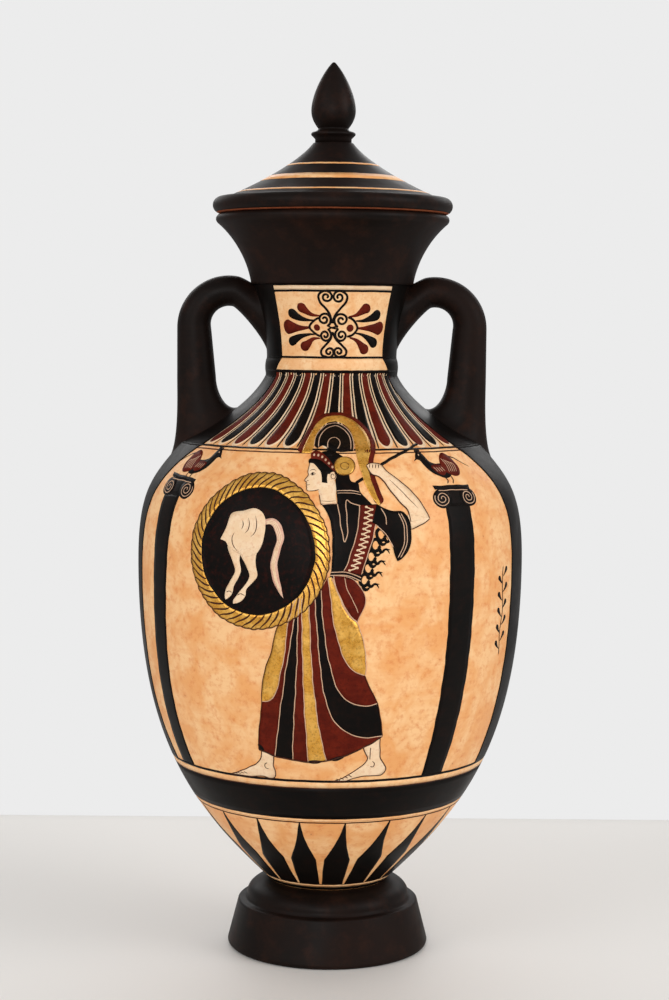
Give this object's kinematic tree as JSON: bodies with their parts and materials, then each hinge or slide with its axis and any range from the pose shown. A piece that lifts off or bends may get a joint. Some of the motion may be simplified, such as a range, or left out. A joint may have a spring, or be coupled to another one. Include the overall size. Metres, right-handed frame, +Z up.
{
  "type": "lidded amphora",
  "caption": "Tall ovoid neck amphora on a stepped foot, with two roll handles, a flaring mouth, a loose conical lid with a bud knob, and black-figure style painting.",
  "frame": {"origin": "centre of the face the foot stands on", "axes": "+Z up along the axis of the vase, handles at -X and +X, painted front towards -Y"},
  "size_m": [0.196, 0.196, 0.45],
  "materials": {
    "black_slip": "fired black slip, satin",
    "painted_clay": "burnished orange clay, satin",
    "bare_clay": "unglazed terracotta, matt",
    "red_slip": "added dark red, satin",
    "cream_slip": "added cream white, satin",
    "gold_paint": "hand-laid gold paint"
  },
  "bodies": {
    "vase": {"foot": "black_slip", "body": "painted_clay", "neck": "painted_clay", "neck_ring": "painted_clay", "mouth": "black_slip", "handle_left": "black_slip", "handle_right": "black_slip"},
    "lid": {"lid": "black_slip", "lid_flange": "bare_clay", "lid_knob": "black_slip"}
  },
  "joints": [
    {"name": "lid_lift", "type": "slide", "parent": "vase", "child": "lid", "axis": [0, 0, 1], "range_m": [0, 0.1]}
  ]
}
